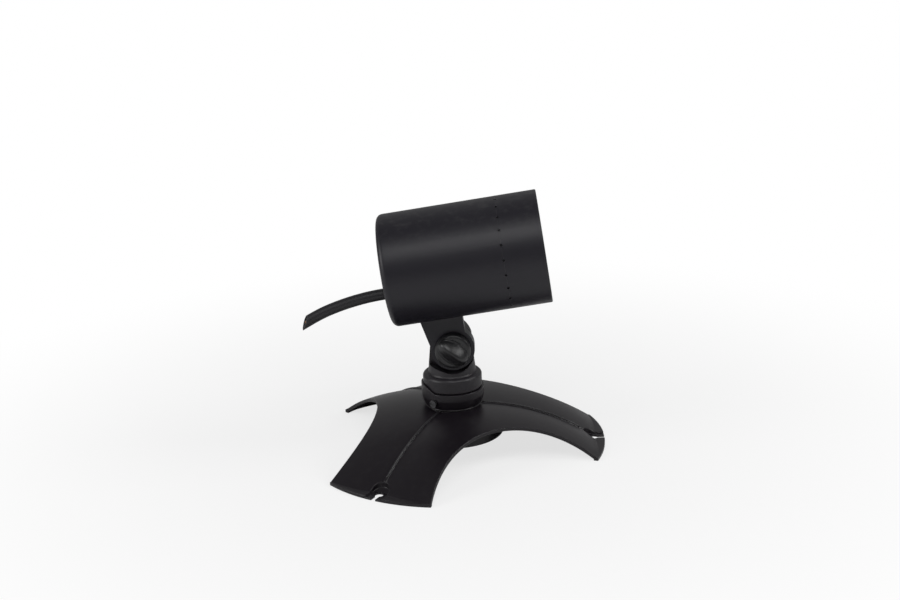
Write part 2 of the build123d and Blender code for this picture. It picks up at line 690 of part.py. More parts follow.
holder_screws = [(0, HOLDER_RADIUS - 2.4), (0, 2.4 - HOLDER_RADIUS)]
with BuildPart() as led_holder:
    with BuildSketch(across(HEATSINK_FACE)):
        Circle(HOLDER_RADIUS)
        Circle(EMITTER_RADIUS + 0.1, mode=Mode.SUBTRACT)
        with Locations(*holder_screws):
            Circle(1.05, mode=Mode.SUBTRACT)
    extrude(amount=HOLDER)
led_holder.part.label = "led_holder"
export_step(led_holder.part, "parts/led_holder.step")

with BuildPart() as led_screws:
    screw(across(holder_front), holder_screws, HOLDER + 3, 0.9, 1.7, 1.0)
led_screws.part.label = "led_screws"
export_step(led_screws.part, "parts/led_screws.step")

with BuildPart() as heat_sink:
    with BuildSketch(across(HEATSINK_FACE - HEATSINK_PLATE)):
        Circle(HEATSINK_RADIUS)
        with Locations(*boss_points):
            Circle(SCREW_HOLE, mode=Mode.SUBTRACT)
    extrude(amount=HEATSINK_PLATE)
    with BuildSketch(across(HEATSINK_FACE - HEATSINK_PLATE)):
        with GridLocations(FIN_PITCH, 1, FIN_COUNT, 1):
            Rectangle(FIN_WALL, 4 * FIN_ROOM)
        Circle(FIN_ROOM - BOSS_RADIUS, mode=Mode.INTERSECT)
    extrude(amount=-FIN_LENGTH)
    with BuildSketch(across(HEATSINK_FACE)):
        with Locations(*holder_screws):
            Circle(1.05)
    extrude(amount=-3.2, mode=Mode.SUBTRACT)
    with BuildSketch(across(HEATSINK_FACE)):
        with Locations((LEAD_WAY[0], LEAD_WAY[1]), (-LEAD_WAY[0], LEAD_WAY[1])):
            Circle(LEAD_RADIUS + 0.3)
    extrude(amount=-HEATSINK_PLATE - FIN_LENGTH, mode=Mode.SUBTRACT)
heat_sink.part.label = "heat_sink"
export_step(heat_sink.part, "parts/heat_sink.step")

with BuildPart() as heat_sink_screws:
    screw(across(HEATSINK_FACE), boss_points, SCREW_LENGTH, SCREW_HEAD, SCREW_HEAD_RADIUS, SCREW_RADIUS)
heat_sink_screws.part.label = "heat_sink_screws"
export_step(heat_sink_screws.part, "parts/heat_sink_screws.step")

# ---- driver ----------------------------------------------------------------------------------

board_front = BOARD_STATION + BOARD
with BuildPart() as driver_board:
    with BuildSketch(across(BOARD_STATION)):
        Circle(BOARD_RADIUS)
        with Locations(*boss_points):
            Circle(SCREW_HOLE, mode=Mode.SUBTRACT)
    extrude(amount=BOARD)
driver_board.part.label = "driver_board"
export_step(driver_board.part, "parts/driver_board.step")

with BuildPart() as board_screws:
    screw(across(board_front), boss_points, SCREW_LENGTH, SCREW_HEAD, SCREW_HEAD_RADIUS, SCREW_RADIUS)
board_screws.part.label = "board_screws"
export_step(board_screws.part, "parts/board_screws.step")

# on the board's front: transformer, two capacitors and a choke
with BuildPart() as transformer:
    with BuildSketch(across(board_front)):
        with Locations((0, 6)):
            Rectangle(15, 13)
    extrude(amount=9)
transformer.part.label = "transformer"
export_step(transformer.part, "parts/transformer.step")

with BuildPart() as capacitors:
    with BuildSketch(across(board_front)):
        with Locations((-15, -6), (15, -4)):
            Circle(4.5)
    extrude(amount=8.5)
capacitors.part.label = "capacitors"
export_step(capacitors.part, "parts/capacitors.step")

with BuildPart() as choke:
    with BuildSketch(across(board_front)):
        with Locations((0, -14)):
            Circle(5.5)
            Circle(2.4, mode=Mode.SUBTRACT)
    extrude(amount=5)
choke.part.label = "choke"
export_step(choke.part, "parts/choke.step")

# two-way terminal on the board's back, its wire holes facing down
with BuildPart() as terminal_block:
    with BuildSketch(across(BOARD_STATION)):
        with Locations(TERMINAL):
            Rectangle(2 * TERMINAL_PITCH + 1, TERMINAL_HEIGHT)
    extrude(amount=-TERMINAL_DEPTH)
    mouth = Plane(
        origin=across(BOARD_STATION - TERMINAL_DEPTH / 2).from_local_coords(
            Vector(TERMINAL[0], TERMINAL[1] - TERMINAL_HEIGHT / 2, 0)),
        x_dir=(0, 1, 0),
        z_dir=upward,
    )
    with BuildSketch(mouth):
        with GridLocations(TERMINAL_PITCH, 1, 2, 1):
            Circle(LEAD_RADIUS + 0.3)
    extrude(amount=TERMINAL_HOLE, mode=Mode.SUBTRACT)
terminal_block.part.label = "terminal_block"
export_step(terminal_block.part, "parts/terminal_block.step")

# ---- rear cover ------------------------------------------------------------------------------

well_outer = WELL_RADIUS + WELL_WALL
with BuildPart() as rear_cover:
    with BuildSketch(across(cover_back)):
        Circle(COVER_RADIUS)
    extrude(amount=COVER)
    with BuildSketch(across(cover_back)):
        with Locations(well_at):
            Circle(well_outer)
    extrude(amount=WELL_FLOOR + WELL_WALL - cover_back)
    with BuildSketch(across(cover_back)):
        with Locations(well_at):
            Circle(WELL_RADIUS)
    extrude(amount=WELL_FLOOR - cover_back, mode=Mode.SUBTRACT)
    with BuildSketch(across(cover_back)):
        with Locations(well_at):
            Circle(GLAND_RADIUS + 0.1)
        with Locations(*boss_points):
            Circle(SCREW_HOLE)
    extrude(amount=HEAD_RADIUS, mode=Mode.SUBTRACT)
    with BuildSketch(across(cover_back)):
        with Locations(*boss_points):
            Circle(SCREW_HEAD_RADIUS + 0.3)
    extrude(amount=SCREW_HEAD - 0.4, mode=Mode.SUBTRACT)
    with BuildSketch(across(cover_back)):
        with PolarLocations(HEAD_RADIUS - REAR_LIP, 1, start_angle=well_angle):
            Rectangle(2 * REAR_LIP + 4, CHANNEL_WIDTH)
    extrude(amount=COVER * 0.6, mode=Mode.SUBTRACT)
rear_cover.part.label = "rear_cover"
export_step(rear_cover.part, "parts/rear_cover.step")

with BuildPart() as rear_gasket:
    with BuildSketch(head_side):
        band(cover_front, cover_front + COVER_GASKET - 0.2, SHELF_RADIUS + 0.2, REAR_LIP_RADIUS - 0.2)
    revolve(axis=head_axis)
rear_gasket.part.label = "rear_gasket"
export_step(rear_gasket.part, "parts/rear_gasket.step")

with BuildPart() as cover_screws:
    screw(behind(cover_back + SCREW_HEAD - 0.4), [(-x, y) for x, y in boss_points],
          SCREW_LENGTH, SCREW_HEAD, SCREW_HEAD_RADIUS, SCREW_RADIUS)
cover_screws.part.label = "cover_screws"
export_step(cover_screws.part, "parts/cover_screws.step")

# ---- cable gland -----------------------------------------------------------------------------

flange_back = WELL_FLOOR - GLAND_FLANGE
nut_back = flange_back - GLAND_NUT_LENGTH
sleeve_back = flange_back - GLAND_NUT_LENGTH + 1.2
sleeve_front = WELL_FLOOR + WELL_WALL + 4
with BuildPart() as gland_body:
    with BuildSketch(across(sleeve_back)):
        with Locations(well_at):
            Circle(GLAND_RADIUS)
    extrude(amount=sleeve_front - sleeve_back)
    with BuildSketch(across(flange_back)):
        with Locations(well_at):
            RegularPolygon(GLAND_ACROSS / 2, 6, major_radius=False)
    extrude(amount=GLAND_FLANGE)
    with BuildSketch(across(sleeve_back)):
        with Locations(well_at):
            Circle(CABLE_RADIUS + 0.1)
    extrude(amount=sleeve_front - sleeve_back, mode=Mode.SUBTRACT)
    with BuildSketch(across(sleeve_back)):
        with Locations(well_at):
            Circle(CABLE_RADIUS + 0.9)
    extrude(amount=5, mode=Mode.SUBTRACT)
gland_body.part.label = "gland_body"
export_step(gland_body.part, "parts/gland_body.step")

with BuildPart() as gland_seal:
    with BuildSketch(across(sleeve_back)):
        with Locations(well_at):
            Circle(CABLE_RADIUS + 0.8)
            Circle(CABLE_RADIUS, mode=Mode.SUBTRACT)
    extrude(amount=5)
gland_seal.part.label = "gland_seal"
export_step(gland_seal.part, "parts/gland_seal.step")

with BuildPart() as gland_nut:
    with BuildSketch(across(nut_back)):
        with Locations(well_at):
            RegularPolygon(GLAND_ACROSS / 2, 6, major_radius=False)
    extrude(amount=GLAND_NUT_LENGTH)
    with BuildSketch(across(sleeve_back)):
        with Locations(well_at):
            Circle(GLAND_RADIUS + 0.1)
    extrude(amount=GLAND_NUT_LENGTH, mode=Mode.SUBTRACT)
    with BuildSketch(across(nut_back)):
        with Locations(well_at):
            Circle(CABLE_RADIUS + 0.1)
    extrude(amount=2, mode=Mode.SUBTRACT)
gland_nut.part.label = "gland_nut"
export_step(gland_nut.part, "parts/gland_nut.step")

with BuildPart() as gland_locknut:
    with BuildSketch(across(WELL_FLOOR + WELL_WALL)):
        with Locations(well_at):
            RegularPolygon(GLAND_ACROSS / 2 + 0.5, 6, major_radius=False)
            Circle(GLAND_RADIUS + 0.05, mode=Mode.SUBTRACT)
    extrude(amount=3)
gland_locknut.part.label = "gland_locknut"
export_step(gland_locknut.part, "parts/gland_locknut.step")

# rubber boot from the gland nut to the rear face, thinner towards its tip
with BuildPart() as cable_boot:
    with BuildSketch(across(nut_back)):
        with Locations(well_at):
            Circle(CABLE_RADIUS + 2.4)
    with BuildSketch(across(BOOT_TIP)):
        with Locations(well_at):
            Circle(CABLE_RADIUS + 0.8)
    loft()
    with BuildSketch(across(BOOT_TIP)):
        with Locations(well_at):
            Circle(CABLE_RADIUS + 0.02)
    extrude(amount=nut_back - BOOT_TIP, mode=Mode.SUBTRACT)
cable_boot.part.label = "cable_boot"
export_step(cable_boot.part, "parts/cable_boot.step")

# stretch of the cable inside the boot and the gland, ending in the housing
with BuildPart() as cable_inner:
    with BuildSketch(across(BOOT_TIP)):
        with Locations(well_at):
            Circle(CABLE_RADIUS)
    extrude(amount=sleeve_front + 0.5 - BOOT_TIP)
cable_inner.part.label = "cable_inner"
export_step(cable_inner.part, "parts/cable_inner.step")

# ---- leads -----------------------------------------------------------------------------------

def at(station, y, z):
    """Point in the head: station, then y and z from the head's axis as in across()."""
    return across(station).from_local_coords(Vector(y, z, 0))


def lead(route_points):
    """Round lead along straight runs with small bends between them."""
    with BuildLine() as path:
        FilletPolyline(*route_points, radius=LEAD_BEND)
    with BuildSketch(Plane(origin=path.wire() @ 0, z_dir=path.wire() % 0)) as core:
        Circle(LEAD_RADIUS)
    sweep(core.sketch, path=path.wire())


cable_front = sleeve_front + 0.5
entry_station = BOARD_STATION - TERMINAL_DEPTH / 2
with BuildPart() as supply_leads:
    for side in (-1, 1):
        start_y = WELL_Y + side * CABLE_RADIUS / 2
        entry_y = TERMINAL[0] + side * TERMINAL_PITCH / 2
        lead([
            at(cable_front, start_y, -WELL_DROP),
            at(entry_station + side * 0.3, start_y, -WELL_DROP),
            at(entry_station, entry_y, TERMINAL[1] - TERMINAL_HEIGHT / 2 - 6.0),
            at(entry_station, entry_y, TERMINAL[1] - TERMINAL_HEIGHT / 2 + TERMINAL_HOLE),
        ])
supply_leads.part.label = "supply_leads"
export_step(supply_leads.part, "parts/supply_leads.step")

# from the board, through the heat sink, to the holder of the light source
with BuildPart() as led_leads:
    for side in (-1, 1):
        lead([
            at(board_front, side * LEAD_WAY[0], LEAD_WAY[1]),
            at(holder_front + LEAD_RADIUS, side * LEAD_WAY[0], LEAD_WAY[1]),
            at(holder_front + LEAD_RADIUS, side * (LEAD_WAY[0] - 1.0), 2.0 - HOLDER_RADIUS),
        ])
led_leads.part.label = "led_leads"
export_step(led_leads.part, "parts/led_leads.step")

# ---- free end of the cable -------------------------------------------------------------------

points = [Vector(*point) for point in CABLE_ROUTE]
runs = [(b - a).length for a, b in zip(points, points[1:])]
radii = []
for before, corner, after, run_in, run_out in zip(points, points[1:], points[2:], runs, runs[1:]):
    turn = (corner - before).get_angle(after - corner)
    radii.append(0.45 * min(run_in, run_out) / tan(radians(turn / 2)))

with BuildPart() as cable:
    with BuildLine() as route:
        FilletPolyline(*points, radius=radii)
    with BuildSketch(Plane(origin=points[0], z_dir=points[1] - points[0])):
        Circle(CABLE_RADIUS)
    sweep()
cable.part.label = "cable"
export_step(cable.part, "parts/cable.step")
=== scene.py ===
"""Adjustable garden spotlight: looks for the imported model, in metres, in its frame."""

import math

import bmesh
import bpy
from mathutils import Matrix, Vector


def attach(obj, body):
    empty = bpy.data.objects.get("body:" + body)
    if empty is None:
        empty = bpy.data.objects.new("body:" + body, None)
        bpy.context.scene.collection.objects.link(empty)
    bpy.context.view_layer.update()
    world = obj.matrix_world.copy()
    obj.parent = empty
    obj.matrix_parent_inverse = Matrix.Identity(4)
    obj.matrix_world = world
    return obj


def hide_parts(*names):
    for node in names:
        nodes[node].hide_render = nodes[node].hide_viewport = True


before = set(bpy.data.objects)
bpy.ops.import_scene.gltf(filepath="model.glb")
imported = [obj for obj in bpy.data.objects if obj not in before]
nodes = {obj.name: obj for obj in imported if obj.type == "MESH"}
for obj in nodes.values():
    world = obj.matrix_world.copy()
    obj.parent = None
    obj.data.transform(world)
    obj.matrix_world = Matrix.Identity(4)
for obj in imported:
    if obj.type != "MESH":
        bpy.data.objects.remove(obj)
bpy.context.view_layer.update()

# ---- camera --------------------------------------------------------------------------------------
# A long lens a little above the lamp, looking at its middle.  It stands almost square to the tilt
# bolt and is rolled a touch.
sight = Vector((0.00058, 0.0, 0.1077))
azimuth = math.radians(1.466)
elevation = math.radians(17.632)
camera_roll = math.radians(-2.439)
camera_distance = 1.0334
toward_camera = Vector((
    math.sin(azimuth) * math.cos(elevation),
    -math.cos(azimuth) * math.cos(elevation),
    math.sin(elevation),
))
right = (-toward_camera).cross(Vector((0, 0, 1))).normalized()
up = right.cross(-toward_camera)
camera_x = math.cos(camera_roll) * right + math.sin(camera_roll) * up
camera_y = -math.sin(camera_roll) * right + math.cos(camera_roll) * up
camera_data = bpy.data.cameras.new("camera")
camera_data.lens = 59.33
camera_data.sensor_width = 36.0
camera_data.clip_start = 0.05
camera = bpy.data.objects.new("camera", camera_data)
bpy.context.scene.collection.objects.link(camera)
place = Matrix((camera_x, camera_y, toward_camera)).transposed().to_4x4()
place.translation = sight + camera_distance * toward_camera
camera.matrix_world = place
bpy.context.scene.camera = camera

# ---- moulded plastic -----------------------------------------------------------------------------
# Shared look of the black mouldings: a fine satin grain from the spark-eroded mould, slow changes
# of sheen, faint rub marks on edges and a trace of dust where it settles.
def shade(name):
    """New node material: its nodes, links, shader and the object coordinates."""
    material = bpy.data.materials.new(name)
    material.use_nodes = True
    shader = material.node_tree.nodes["Principled BSDF"]
    place_of = material.node_tree.nodes.new("ShaderNodeTexCoord")
    tree = material.node_tree
    return material, tree.nodes, tree.links, shader, place_of.outputs["Object"]


def dress(thing, material):
    """Gives the material to every slot of a piece or CAD node."""
    thing.data.materials.clear()
    thing.data.materials.append(material)


def group_socket(group, name, kind, way, value=None):
    """Named input or output of a node group, with its usual value."""
    socket = group.interface.new_socket(name=name, in_out=way, socket_type=kind)
    if value is not None:
        socket.default_value = value


moulding = bpy.data.node_groups.new("satin_moulding", "ShaderNodeTree")
for label, value in (
    ("Grain Size", 900.0), ("Grain Depth", 0.25), ("Sheen Change", 0.06), ("Roughness", 0.4),
    ("Rub", 0.35), ("Dust", 0.12), ("Edge Radius", 0.0004),
):
    group_socket(moulding, label, "NodeSocketFloat", "INPUT", value)
group_socket(moulding, "Place", "NodeSocketVector", "INPUT")
group_socket(moulding, "Base", "NodeSocketColor", "INPUT", (0.02, 0.02, 0.021, 1))
group_socket(moulding, "Rubbed", "NodeSocketColor", "INPUT", (0.09, 0.09, 0.095, 1))
group_socket(moulding, "Colour", "NodeSocketColor", "OUTPUT")
group_socket(moulding, "Roughness", "NodeSocketFloat", "OUTPUT")
group_socket(moulding, "Normal", "NodeSocketVector", "OUTPUT")
its = moulding.nodes
link = moulding.links
given = its.new("NodeGroupInput")
made = its.new("NodeGroupOutput")

grain = its.new("ShaderNodeTexNoise")
grain.inputs["Detail"].default_value = 3.0
link.new(given.outputs["Place"], grain.inputs["Vector"])
link.new(given.outputs["Grain Size"], grain.inputs["Scale"])
flow = its.new("ShaderNodeTexNoise")
flow.inputs["Scale"].default_value = 28.0
flow.inputs["Detail"].default_value = 4.0
link.new(given.outputs["Place"], flow.inputs["Vector"])

rounded = its.new("ShaderNodeBevel")
rounded.samples = 6
link.new(given.outputs["Edge Radius"], rounded.inputs["Radius"])
bump = its.new("ShaderNodeBump")
bump.inputs["Distance"].default_value = 0.00008
link.new(given.outputs["Grain Depth"], bump.inputs["Strength"])
link.new(grain.outputs["Fac"], bump.inputs["Height"])
link.new(rounded.outputs["Normal"], bump.inputs["Normal"])
link.new(bump.outputs["Normal"], made.inputs["Normal"])

# an edge is where the rounded normal leaves the true one
shape = its.new("ShaderNodeNewGeometry")
apart = its.new("ShaderNodeVectorMath")
apart.operation = "DOT_PRODUCT"
link.new(rounded.outputs["Normal"], apart.inputs[0])
link.new(shape.outputs["Normal"], apart.inputs[1])
edge = its.new("ShaderNodeMapRange")
edge.inputs["From Min"].default_value = 0.995
edge.inputs["From Max"].default_value = 0.86
link.new(apart.outputs["Value"], edge.inputs["Value"])
patchy = its.new("ShaderNodeMapRange")
patchy.inputs["From Min"].default_value = 0.35
patchy.inputs["From Max"].default_value = 0.65
link.new(flow.outputs["Fac"], patchy.inputs["Value"])
worn = its.new("ShaderNodeMath")
worn.operation = "MULTIPLY"
link.new(edge.outputs["Result"], worn.inputs[0])
link.new(patchy.outputs["Result"], worn.inputs[1])
rub = its.new("ShaderNodeMath")
rub.operation = "MULTIPLY"
link.new(worn.outputs["Value"], rub.inputs[0])
link.new(given.outputs["Rub"], rub.inputs[1])
rubbed = its.new("ShaderNodeMix")
rubbed.data_type = "RGBA"
link.new(rub.outputs["Value"], rubbed.inputs["Factor"])
link.new(given.outputs["Base"], rubbed.inputs["A"])
link.new(given.outputs["Rubbed"], rubbed.inputs["B"])

# dust lies on what faces up
facing_up = its.new("ShaderNodeSeparateXYZ")
link.new(shape.outputs["Normal"], facing_up.inputs["Vector"])
settle = its.new("ShaderNodeMapRange")
settle.inputs["From Min"].default_value = 0.45
settle.inputs["From Max"].default_value = 1.0
link.new(facing_up.outputs["Z"], settle.inputs["Value"])
specks = its.new("ShaderNodeTexNoise")
specks.inputs["Scale"].default_value = 210.0
specks.inputs["Detail"].default_value = 6.0
link.new(given.outputs["Place"], specks.inputs["Vector"])
clumps = its.new("ShaderNodeMapRange")
clumps.inputs["From Min"].default_value = 0.5
clumps.inputs["From Max"].default_value = 0.75
link.new(specks.outputs["Fac"], clumps.inputs["Value"])
dust = its.new("ShaderNodeMath")
dust.operation = "MULTIPLY"
link.new(settle.outputs["Result"], dust.inputs[0])
link.new(clumps.outputs["Result"], dust.inputs[1])
dust_amount = its.new("ShaderNodeMath")
dust_amount.operation = "MULTIPLY"
link.new(dust.outputs["Value"], dust_amount.inputs[0])
link.new(given.outputs["Dust"], dust_amount.inputs[1])
dusted = its.new("ShaderNodeMix")
dusted.data_type = "RGBA"
dusted.inputs["B"].default_value = (0.16, 0.16, 0.155, 1)
link.new(dust_amount.outputs["Value"], dusted.inputs["Factor"])
link.new(rubbed.outputs["Result"], dusted.inputs["A"])
link.new(dusted.outputs["Result"], made.inputs["Colour"])

# roughness: the set value, slow flow marks, smoother where rubbed
change = its.new("ShaderNodeMath")
change.operation = "MULTIPLY_ADD"
link.new(flow.outputs["Fac"], change.inputs[0])
link.new(given.outputs["Sheen Change"], change.inputs[1])
link.new(given.outputs["Roughness"], change.inputs[2])
polish = its.new("ShaderNodeMath")
polish.operation = "MULTIPLY_ADD"
polish.inputs[1].default_value = -0.12
link.new(worn.outputs["Value"], polish.inputs[0])
link.new(change.outputs["Value"], polish.inputs[2])
link.new(polish.outputs["Value"], made.inputs["Roughness"])


def moulded(name, base, roughness, specular=0.5, **settings):
    """Material of one black moulding, with its own values of the shared look."""
    material, its, link, shader, where = shade(name)
    look = its.new("ShaderNodeGroup")
    look.node_tree = moulding
    look.inputs["Base"].default_value = (*base, 1)
    look.inputs["Roughness"].default_value = roughness
    for label, value in settings.items():
        look.inputs[label.replace("_", " ")].default_value = value
    link.new(where, look.inputs["Place"])
    link.new(look.outputs["Colour"], shader.inputs["Base Color"])
    link.new(look.outputs["Roughness"], shader.inputs["Roughness"])
    link.new(look.outputs["Normal"], shader.inputs["Normal"])
    shader.inputs["Specular IOR Level"].default_value = specular
    return material


head_black = moulded("head_black", (0.0092, 0.0082, 0.0128), 0.4, 0.42)
dress(nodes["housing"], head_black)
dress(nodes["front_bezel"], head_black)
dress(nodes["rear_cover"], moulded("cover_black", (0.0095, 0.0085, 0.012), 0.48, 0.42))
dress(nodes["swivel_post"], moulded("post_black", (0.0125, 0.0105, 0.0135), 0.42, 0.45))
base_black = moulded("base_black", (0.0072, 0.0052, 0.0078), 0.33, 0.42,
                     Dust=0.03, Edge_Radius=0.0011)
dress(nodes["base_plate"], base_black)

# ---- base trim -----------------------------------------------------------------------------------
# Fine half-round beads along the crests of the three fold ribs of the base, and the thin ring at
# the foot of the hub.  Moulded in one shot with the base plate, in the same plastic, but given a
# lighter colour than the plate: a painted highlight along their crests.
fold_centre = Vector((0.01105, 0, -0.1181))
fold_radius = 0.148875
bead_stand = 0.0008
bead_radius = 0.0006
bead_start, bead_end = math.radians(3.6), math.radians(31.6)
ring_reach, ring_height, ring_radius = 0.0199, 0.0326, 0.0004
feet = 3
round_sides, bead_steps, ring_steps = 12, 48, 96
merge_distance = 1e-7


def finish(name, work, body, material):
    """Smooth mesh object of the finished bmesh, on its body and with its finish."""
    bmesh.ops.recalc_face_normals(work, faces=work.faces)
    mesh = bpy.data.meshes.new(name)
    work.to_mesh(mesh)
    work.free()
    for face in mesh.polygons:
        face.use_smooth = True
    piece = bpy.data.objects.new(name, mesh)
    bpy.context.scene.collection.objects.link(piece)
    dress(piece, material)
    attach(piece, body)
    return piece


# lighter than the base plate's black: painted highlight, so beads and ring read as fine bright
# lines
bead_painted_highlight = moulded("bead_painted_highlight", (0.019, 0.018, 0.02), 0.27, 0.5,
                     Edge_Radius=0.00008, Rub=0.0, Dust=0.0)

beads = bmesh.new()
for foot in range(feet):
    turn = Matrix.Rotation(math.radians(360 / feet * foot), 4, "Z")
    first = Matrix.Translation(fold_centre) @ Matrix.Rotation(bead_start, 4, "Y")
    first = first @ Matrix.Translation((0, 0, fold_radius + bead_stand))
    first = first @ Matrix.Rotation(math.pi / 2, 4, "Y")
    section = bmesh.ops.create_circle(beads, cap_ends=True, segments=round_sides,
                                      radius=bead_radius, matrix=turn @ first)
    section = list({face for vert in section["verts"] for face in vert.link_faces})
    bmesh.ops.spin(beads, geom=section, cent=turn @ fold_centre, axis=turn @ Vector((0, 1, 0)),
                   angle=bead_end - bead_start, steps=bead_steps)
bmesh.ops.remove_doubles(beads, verts=beads.verts, dist=merge_distance)
finish("fold_beads", beads, "base", bead_painted_highlight)

ring = bmesh.new()
upright = Matrix.Translation((ring_reach, 0, ring_height)) @ Matrix.Rotation(math.pi / 2, 4, "X")
section = bmesh.ops.create_circle(ring, segments=round_sides, radius=ring_radius, matrix=upright)
rim = list({edge for vert in section["verts"] for edge in vert.link_edges})
bmesh.ops.spin(ring, geom=rim, cent=(0, 0, 0), axis=(0, 0, 1), angle=math.tau, steps=ring_steps,
               use_merge=True)
bmesh.ops.remove_doubles(ring, verts=ring.verts, dist=merge_distance)
finish("hub_ring", ring, "base", bead_painted_highlight)

# ---- knob ----------------------------------------------------------------------------------------
# Clamp knob moulded over the head of the bolt: a round cap with a soft oval grip across it, which
# stands on a low oval step and takes finger and thumb.  Glossier than the post.
knob_black = moulded("knob_black", (0.0125, 0.0125, 0.0135), 0.3, 0.5, Edge_Radius=0.0005)
knob_spot = Matrix.Translation((0.0015, -0.015, 0.076)) @ Matrix.Rotation(math.pi / 2, 4, "X")
grip_turn = Matrix.Rotation(math.radians(-41), 4, "Z")
cap_radius, cap_depth, cap_round = 0.0125, 0.0046, 0.0026
grip_half = Vector((0.0116, 0.0072, 0.0068))
step_half = Vector((0.0119, 0.0079, 0.0009))
step_draft = 0.97          # top of the oval step against its foot
crest_taper = 0.6
knob_sides = 96

knob = bmesh.new()
bmesh.ops.create_cone(knob, cap_ends=True, segments=knob_sides, radius1=cap_radius,
                      radius2=cap_radius, depth=cap_depth,
                      matrix=Matrix.Translation((0, 0, cap_depth / 2)))
front_edge = [edge for edge in knob.edges
              if all(vert.co.z > 0.9 * cap_depth for vert in edge.verts)]
bmesh.ops.bevel(knob, geom=front_edge, offset=cap_round, segments=8, profile=0.5, affect="EDGES",
                material=-1)
bmesh.ops.create_cone(knob, cap_ends=True, segments=knob_sides, radius1=1, radius2=step_draft,
                      depth=2,
                      matrix=Matrix.Translation((0, 0, cap_depth)) @ grip_turn
                      @ Matrix.Diagonal(step_half).to_4x4())
grip = bmesh.ops.create_uvsphere(knob, u_segments=64, v_segments=32, radius=1)["verts"]
for vert in grip:
    vert.co.y *= 1 - crest_taper * max(0.0, vert.co.z)
bmesh.ops.transform(knob, verts=grip, matrix=Matrix.Translation((0, 0, cap_depth)) @ grip_turn
                    @ Matrix.Diagonal(grip_half).to_4x4())
bmesh.ops.transform(knob, matrix=knob_spot, verts=knob.verts)
knob = finish("knob_grip", knob, "knob", knob_black)
one_shot = knob.modifiers.new("one_shot", "REMESH")
one_shot.mode = "VOXEL"
one_shot.voxel_size = 0.00024
one_shot.use_smooth_shade = True
softened = knob.modifiers.new("softened", "SMOOTH")
softened.factor = 0.5
softened.iterations = 4
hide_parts("knob")

# ---- cable ---------------------------------------------------------------------------------------
# Round rubber-sheathed cable of two cores, matt, extruded in one length and cut short.  It leaves
# the rear cover in a soft downward bow and keeps its set.  Its end is cut on a slant and shows the
# cores; the gland, the boot and the gaskets are of the same rubber.
cable_diameter = 0.008
cable_route = [
    (-0.03965, 0.0030, 0.11355),
    (-0.05150, 0.0030, 0.11202),
    (-0.06500, 0.0034, 0.10890),
    (-0.07850, 0.0040, 0.10460),
    (-0.09100, 0.0040, 0.09960),
    (-0.09824, 0.0034, 0.09570),
]
curve = bpy.data.curves.new("cable_sheath", "CURVE")
curve.dimensions = "3D"
curve.resolution_u = 12
curve.bevel_depth = 1.0
curve.bevel_resolution = 8
curve.use_fill_caps = True
spline = curve.splines.new("NURBS")
spline.points.add(len(cable_route) - 1)
for control, spot in zip(spline.points, cable_route):
    control.co = (*spot, 1.0)
    control.radius = cable_diameter / 2
spline.order_u = 3
spline.use_endpoint_u = True
cable = bpy.data.objects.new("cable_sheath", curve)
bpy.context.scene.collection.objects.link(cable)
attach(cable, "head")
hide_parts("cable")

rubber = moulded("cable_sheath", (0.0125, 0.0118, 0.0145), 0.42, 0.45, Grain_Size=500.0, Dust=0.03)
cable.data.materials.append(rubber)
for name in ("cable_inner", "cable_boot", "gland_seal", "rear_gasket", "lens_gasket"):
    dress(nodes[name], rubber)


def metal(name, colour, roughness, scratch=0.08):
    """Material of a metal part, with fine rub marks in its sheen."""
    material, its, link, shader, where = shade(name)
    marks = its.new("ShaderNodeTexNoise")
    marks.inputs["Scale"].default_value = 260.0
    marks.inputs["Detail"].default_value = 6.0
    link.new(where, marks.inputs["Vector"])
    spread = its.new("ShaderNodeMapRange")
    spread.inputs["To Min"].default_value = roughness - scratch
    spread.inputs["To Max"].default_value = roughness + scratch
    link.new(marks.outputs["Fac"], spread.inputs["Value"])
    link.new(spread.outputs["Result"], shader.inputs["Roughness"])
    shader.inputs["Base Color"].default_value = (*colour, 1)
    shader.inputs["Metallic"].default_value = 1.0
    return material


# the cut end: the sheath cut off on a slant, two insulated cores and their copper showing in it
end_spot = Vector(cable_route[-1])
end_way = (end_spot - Vector(cable_route[-2])).normalized()
end_frame = Matrix.Translation(end_spot) @ end_way.to_track_quat("Z", "Y").to_matrix().to_4x4()
cut_slant = Vector((-0.953, -0.26, 0.303)).normalized()
tip_length = 0.0045
rod_length, rod_sides, sheath_lap = 0.012, 32, 0.0006
core_spread, core_radius, strand_radius = 0.0014, 0.0012, 0.00055
sheath_wall, hollow_depth, core_stand = 0.0008, 0.0012, -0.0009


def cut_rod(radius, side, start, stand):
    """Rod along the cable's end, from start, cut parallel to the slanted face, stand beyond it."""
    rod = bmesh.new()
    bmesh.ops.create_cone(rod, cap_ends=True, segments=rod_sides, radius1=radius,
                          radius2=radius, depth=rod_length,
                          matrix=end_frame @ Matrix.Translation((side, 0, rod_length / 2 + start)))
    bmesh.ops.bisect_plane(rod, geom=rod.verts[:] + rod.edges[:] + rod.faces[:],
                           dist=merge_distance, plane_no=cut_slant, clear_outer=True,
                           plane_co=end_spot + end_way * (tip_length + stand))
    bmesh.ops.holes_fill(rod, edges=[edge for edge in rod.edges if edge.is_boundary])
    return rod


